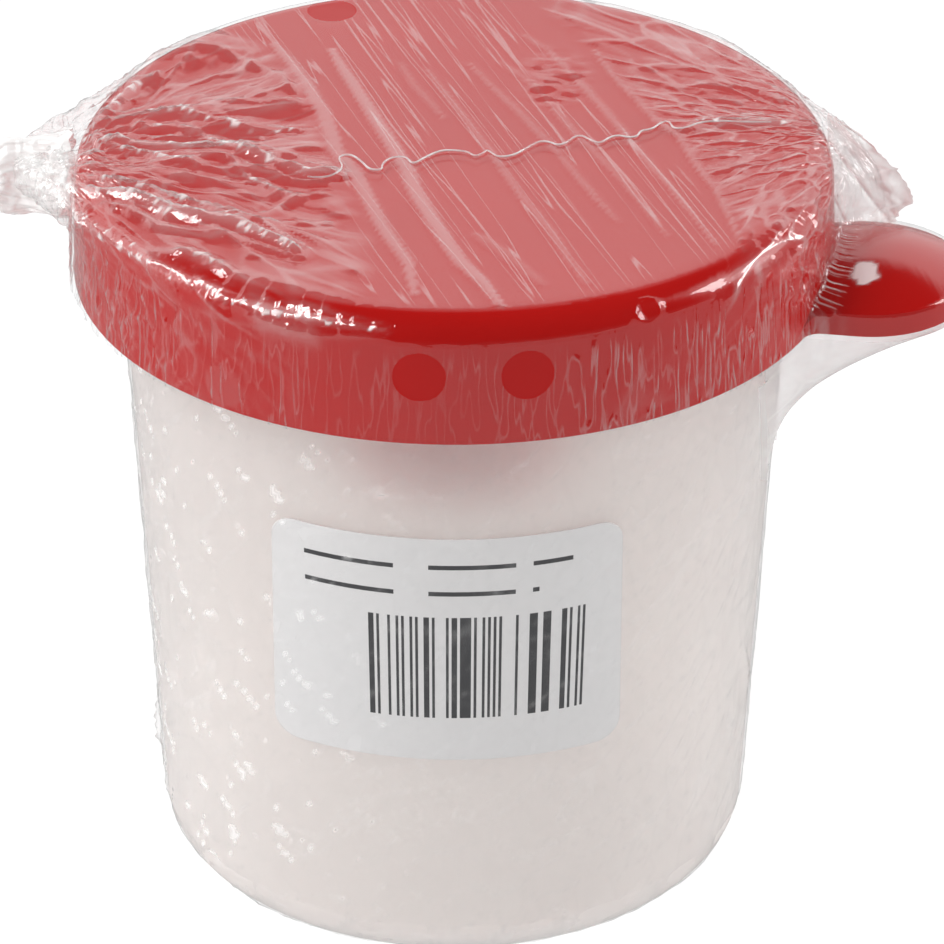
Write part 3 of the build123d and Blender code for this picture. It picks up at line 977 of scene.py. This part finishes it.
def gathered_left():
    """Bunched end of the film: a pleated, flattened tube that stands out from the rim."""
    form = bmesh.new()
    crease_and_painted_highlight = form.verts.layers.float.new("crease_and_painted_highlight")
    steps = 26
    ring = bmesh.ops.create_circle(form, cap_ends=False, segments=132, radius=1)["verts"]
    rings = [ring]
    edges = list(dict.fromkeys(e for v in ring for e in v.link_edges))
    for _ in range(steps):
        grown = bmesh.ops.extrude_edge_only(form, edges=edges)["geom"]
        rings.append(verts_in(grown))
        edges = [e for e in edges_in(grown) if all(v in rings[-1] for v in e.verts)]
    root, tip, middle = 40.9, 50.2, 80.1
    outward = pot_point(1, 179.5, 0).normalized()
    sideways = outward.cross(UP)
    for step, verts in enumerate(rings):
        share = step / steps
        tall = 4.9 * (1 - 0.10 * math.sin(share * math.pi) - 0.45 * max(0, share - 0.75) / 0.25)
        thick = 3.4 * (1 - share) ** 1.4 + 1.2 + 0.5 * math.sin(share * 9)
        for vert in verts:
            angle = math.atan2(vert.co.y, vert.co.x)
            pleat = ridge(ring_noise(angle, 3.2, share * 1.3), 3.5)
            crumple = ring_noise(angle, 2.2, share * 7 + 4)
            swell = 1 + 0.16 * pleat + 0.2 * crumple - 0.08
            reach = root + (tip - root) * share + 0.9 * share * noise.noise((angle * 2.5, 3.1, 0.4))
            reach += 0.5 * ring_noise(angle, 5, share * 9)
            centre = pot_point(0, 0, middle - 0.6 * share) + outward * reach * MM
            vert.co = (centre + sideways * thick * swell * math.cos(angle) * MM
                       + Vector((0, 0, tall * (0.85 + 0.15 * swell) * math.sin(angle) * MM)))
            vert[crease_and_painted_highlight] = 0.62 + 0.25 * pleat + 0.1 * share
    face_outwards(form)
    wrapped_piece("left_film_gather", form, "lid", bunched_film("gathered film left"), "wrap_gather_left")


# Outline of the right gather: how far from the axis it reaches at each height
EAR_OUTLINE = [
    (84.2, 41.8), (82.7, 43.9), (80.8, 45.6), (79.0, 47.0), (77.4, 48.5), (75.2, 49.8), (73.6, 50.3),
    (72.9, 48.6), (71.2, 48.4),
]


def gathered_right():
    """Ragged film ear that leans down from the rim to the tab."""
    form = bmesh.new()
    crease_and_painted_highlight = form.verts.layers.float.new("crease_and_painted_highlight")
    grid = bmesh.ops.create_grid(form, x_segments=56, y_segments=44, size=0.5)["verts"]
    depths = [-height for height, _ in EAR_OUTLINE]
    reaches = [reach for _, reach in EAR_OUTLINE]
    for vert in grid:
        along = vert.co.x + 0.5
        down = vert.co.y + 0.5
        height = EAR_OUTLINE[0][0] - 13.0 * down
        edge = float(np.interp(-height, depths, reaches))
        edge += 0.6 * noise.noise((height * 1.3, 1.0, 2.0)) + 0.5 * noise.noise((height * 3.1, 3.0, 2.0))
        radius = FILM_ROOT + (edge - FILM_ROOT) * along
        fan = math.atan2(height - 88, radius - 36) * 9
        fold = ridge(noise.noise((fan, along * 0.8, 1.5)), 3)
        side = 0.9 * noise.noise((fan * 0.7, along * 1.3, 6.5)) + 0.55 * fold
        side += 0.5 * noise.noise((along * 5, down * 6, 2.2))
        azimuth = 6.5 + 4.0 * (1 - along) * (0.5 - down)
        normal = UP.cross(pot_point(1, azimuth, 0).normalized())
        vert.co = pot_point(radius, azimuth, height) + normal * side * (0.3 + 0.7 * along) * MM
        vert[crease_and_painted_highlight] = 0.22 + 0.45 * fold**2 + 0.15 * along**4
    face_outwards(form)
    wrapped_piece("right_film_gather", form, "lid", bunched_film("gathered film right"), "wrap_gather_right")


SEAM_PATH = [
    (-15.5, -9), (-13.8, -9.4), (-12.2, -8), (-11.8, -6.4), (-12.3, -4.8), (-12, -4), (-10.9, -3.8),
    (-9.8, -5.5), (-9, -7.4), (-7.6, -7.4), (-7.7, -6), (-6.8, -4.5), (-5.1, -4.2), (-4.5, -6.2),
    (-3.1, -4.4), (-1.5, -2.8), (0.1, -2.8), (1.4, -3.1), (2.2, -4.3), (3.2, -3.2), (3.5, -2.6),
    (4.6, -4.5), (6.4, -3.9), (7.8, -2), (9.1, -0.5), (10.2, -0.8), (11, -1.6), (12, -0.9), (12.8, 0.6),
    (13.7, 0.8), (14.7, -0.6), (15.6, -1), (16.5, 0.3), (17.5, 0.9), (18.6, 0.3), (19.6, 0.6),
    (19.9, 2), (21.2, 2.3), (22.3, 4.2), (23.1, 4.2), (23.4, 2.4), (24.7, 2.6), (26.3, 4), (28.4, 4.4),
    (30.6, 4.1), (34, 4.1),
]


def trim_seam():
    """The thin weld line that wanders over the lid's top."""
    curve = bpy.data.curves.new("seam line", "CURVE")
    curve.dimensions = "3D"
    curve.bevel_depth = SEAM_RADIUS * MM
    curve.bevel_resolution = 2
    curve.use_fill_caps = True
    line = curve.splines.new("NURBS")
    line.points.add(len(SEAM_PATH) - 1)
    for point, (u, v) in zip(line.points, SEAM_PATH):
        point.co = (*seen_point(u, v, LID_TOP + FILM_LIFT + 0.22), 1)
    line.order_u = 3
    line.use_endpoint_u = True
    line.resolution_u = 6
    mesh = settled_mesh(bpy.data.objects.new("seam line", curve))
    mesh.name = "trim_seam"
    mesh.materials.clear()
    mesh.materials.append(welded_film())
    mesh.shade_smooth()
    piece = bpy.data.objects.new("trim_seam", mesh)
    bpy.context.collection.objects.link(piece)
    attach(piece, "lid")
    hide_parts("wrap_seam")


# ---------------------------------------------------------------- floor and surroundings

def lay_floor():
    """A floor that glows white to the camera, and less so in reflections."""
    form = bmesh.new()
    bmesh.ops.create_circle(form, cap_ends=True, segments=96, radius=FLOOR_RADIUS)
    mesh = bpy.data.meshes.new("floor")
    form.to_mesh(mesh)
    form.free()
    floor = bpy.data.objects.new("floor", mesh)
    bpy.context.collection.objects.link(floor)
    material, tree, skin = blank("pale studio floor")
    feed(tree, skin, {"Base Color": (0.88, 0.88, 0.88, 1), "Roughness": 0.9})
    rays = ray_kinds(tree)
    faint = put(tree, "ShaderNodeBsdfDiffuse", {"Color": (0.16, 0.16, 0.16, 1)}).outputs[0]
    strength = maths(tree, "MULTIPLY_ADD", rays["Is Glossy Ray"], -0.62, 0.88)
    glow = put(tree, "ShaderNodeEmission", {"Color": WHITE, "Strength": strength}).outputs[0]
    seen = put(tree, "ShaderNodeAddShader", {0: faint, 1: glow}).outputs[0]
    mirrored = maths(tree, "MAXIMUM", rays["Is Glossy Ray"], rays["Is Transmission Ray"])
    shown = maths(tree, "MAXIMUM", rays["Is Camera Ray"], mirrored)
    both = put(tree, "ShaderNodeMixShader", {0: shown, 1: skin.outputs[0], 2: seen}).outputs[0]
    feed(tree, tree.nodes["Material Output"], {"Surface": both})
    mesh.materials.append(material)


def light_studio():
    """White surroundings low down and behind, a dark ceiling and viewer's side, and three soft lamps."""
    world = bpy.data.worlds.new("studio")
    bpy.context.scene.world = world
    world.use_nodes = True
    tree = world.node_tree
    way = put(tree, "ShaderNodeTexCoord").outputs["Generated"]
    rise = split(tree, way)["Z"]
    back = math.pi / 2 + TAB_TURN
    behind = put(tree, "ShaderNodeVectorMath", {0: way, 1: (math.cos(back), math.sin(back), 0)},
                 operation="DOT_PRODUCT").outputs["Value"]
    wall = maths(tree, "MULTIPLY", ramp(tree, rise, 0.62, 0.76, 1.0, 0.0), ramp(tree, behind, -0.35, 0.05))
    ground = ramp(tree, rise, -0.02, 0.0, 1.0, 0.0)
    rays = ray_kinds(tree)
    white = maths(tree, "MAXIMUM", rays["Is Camera Ray"], rays["Is Transmission Ray"])
    room = maths(tree, "MULTIPLY_ADD", rays["Is Diffuse Ray"], 0.4, 0.03)
    level = maths(tree, "MAXIMUM", maths(tree, "MAXIMUM", wall, ground), maths(tree, "MAXIMUM", white, room))
    feed(tree, tree.nodes["Background"], {"Strength": level, "Color": WHITE})
    softbox("lamp right", 8, 24, 36, 22, 4.6)
    softbox("lamp front left", -148, 44, 20, 26, 6.3)
    softbox("lamp left", 178, 30, 12, 40, 4.5)
    bpy.context.scene.view_settings.view_transform = "Standard"


place_camera()
light_studio()
lay_floor()

finishes = {"cup": milky_plastic(), "label": sticker()}
finishes["lid"] = finishes["spill_guard"] = red_plastic()
for name, finish in finishes.items():
    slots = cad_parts[name].data.materials
    slots.clear()
    slots.append(finish)

wrap_over_lid()
wrap_round_cup()
gathered_left()
gathered_right()
tent_under_tab()
trim_seam()
